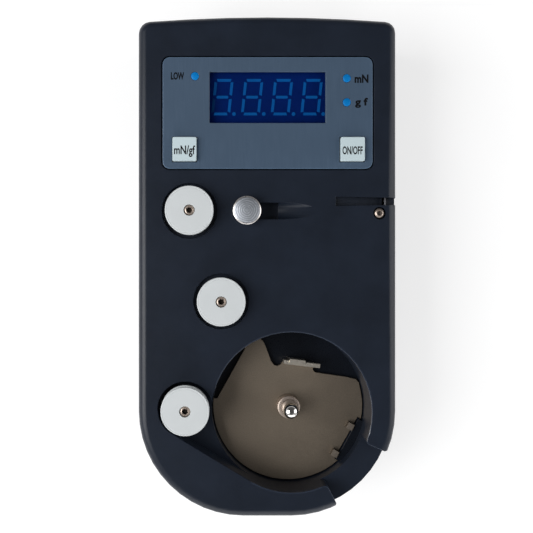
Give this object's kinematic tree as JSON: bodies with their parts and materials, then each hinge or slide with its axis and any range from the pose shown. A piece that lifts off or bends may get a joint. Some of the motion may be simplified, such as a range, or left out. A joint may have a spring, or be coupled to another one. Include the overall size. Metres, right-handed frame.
{
  "type": "digital tension gauge",
  "caption": "Hand-held digital gauge for sewing bobbin thread tension, with a display panel, thread pulleys, a load cell and a round well for the bobbin case.",
  "frame": {"origin": "middle of the back's lowest plane, below the middle of the outline", "axes": "+Z out of the face with the display and the pulleys, +Y along the case from the bobbin well to the display, +X to the right as the display is read"},
  "size_m": [0.0648, 0.1258, 0.03],
  "materials": {
    "case_black": "fine satin grain",
    "panel_blue": "faintly brushed",
    "window_blue": "clear and dark",
    "display_dark": "satin",
    "lamp_blue": "translucent",
    "button_white": "satin",
    "pulley_white": "satin",
    "switch_black": "satin",
    "board_green": "solder mask",
    "aluminium": "turned",
    "nickel": "satin nickel plating",
    "spindle_steel": "polished",
    "blade_steel": "ground",
    "screw_nickel": "nickel plating",
    "screw_steel": "zinc plating",
    "bush_brass": "turned",
    "magnet_grey": "nickel plating",
    "contact_nickel": "nickel plating",
    "battery_sleeve": "plain printed sleeve",
    "gauge_amber": "amber film",
    "cable_grey": "ribbon"
  },
  "bodies": {
    "case": {"front_case": "case_black", "rear_case": "case_black", "display_panel": "panel_blue", "display_window": "window_blue", "led_display": "display_dark", "low_lamp": "lamp_blue", "millinewton_lamp": "lamp_blue", "gram_force_lamp": "lamp_blue", "unit_switch": "switch_black", "power_switch": "switch_black", "main_board": "board_green", "board_screw_1": "screw_steel", "board_screw_2": "screw_steel", "board_screw_3": "screw_steel", "board_screw_4": "screw_steel", "controller_chip": "switch_black", "case_screw_1": "screw_steel", "case_screw_2": "screw_steel", "case_screw_3": "screw_steel", "case_screw_4": "screw_steel", "load_cell_screw_1": "screw_steel", "load_cell_screw_2": "screw_steel", "sensor_cable": "cable_grey", "upper_bush": "bush_brass", "lower_bush": "bush_brass", "upper_pulley_screw": "screw_nickel", "lower_pulley_screw": "screw_nickel", "thread_post": "aluminium", "post_nut": "screw_steel", "cutter_blade": "blade_steel", "cutter_screw": "screw_nickel", "magnet": "magnet_grey", "battery_1": "battery_sleeve", "battery_2": "battery_sleeve", "bridge_contact": "contact_nickel", "positive_contact": "contact_nickel", "negative_contact": "contact_nickel", "bridge_spring": "contact_nickel", "negative_spring": "contact_nickel"},
    "load_cell": {"load_cell": "aluminium", "left_strain_gauge": "gauge_amber", "right_strain_gauge": "gauge_amber", "middle_bush": "bush_brass", "middle_spacer": "screw_nickel", "middle_pulley_screw": "screw_nickel"},
    "upper_pulley": {"upper_pulley": "pulley_white"},
    "middle_pulley": {"middle_pulley": "pulley_white"},
    "lower_pulley": {"lower_pulley": "pulley_white"},
    "unit_button": {"unit_button": "button_white", "unit_plunger": "switch_black"},
    "power_button": {"power_button": "button_white", "power_plunger": "switch_black"},
    "battery_door": {"battery_door": "case_black"},
    "adapter": {"adapter_plate": "nickel", "spindle": "spindle_steel"}
  },
  "joints": [
    {"name": "upper_pulley_spin", "type": "hinge", "parent": "case", "child": "upper_pulley", "pos_m": [-0.01952, 0.0139, 0.0279], "axis": [0, 0, 1], "continuous": true},
    {"name": "load_cell_flex", "type": "hinge", "parent": "case", "child": "load_cell", "pos_m": [-0.01163, 0.00147, 0.01825], "axis": [0, 0, 1], "range_deg": [-0.6, 0.2], "stiffness_Nm_per_rad": 4.8},
    {"name": "middle_pulley_spin", "type": "hinge", "parent": "load_cell", "child": "middle_pulley", "pos_m": [-0.01163, -0.00873, 0.0279], "axis": [0, 0, 1], "continuous": true},
    {"name": "lower_pulley_spin", "type": "hinge", "parent": "case", "child": "lower_pulley", "pos_m": [-0.02057, -0.03576, 0.0279], "axis": [0, 0, 1], "continuous": true},
    {"name": "unit_button_press", "type": "slide", "parent": "case", "child": "unit_button", "axis": [0, 0, -1], "range_m": [0, 0.0004], "stiffness_N_per_m": 2500},
    {"name": "power_button_press", "type": "slide", "parent": "case", "child": "power_button", "axis": [0, 0, -1], "range_m": [0, 0.0004], "stiffness_N_per_m": 2500},
    {"name": "battery_door_slide", "type": "slide", "parent": "case", "child": "battery_door", "axis": [0, 1, 0], "range_m": [0, 0.045]},
    {"name": "adapter_lift", "type": "slide", "parent": "case", "child": "adapter", "axis": [0, 0, 1], "range_m": [0, 0.016]}
  ]
}
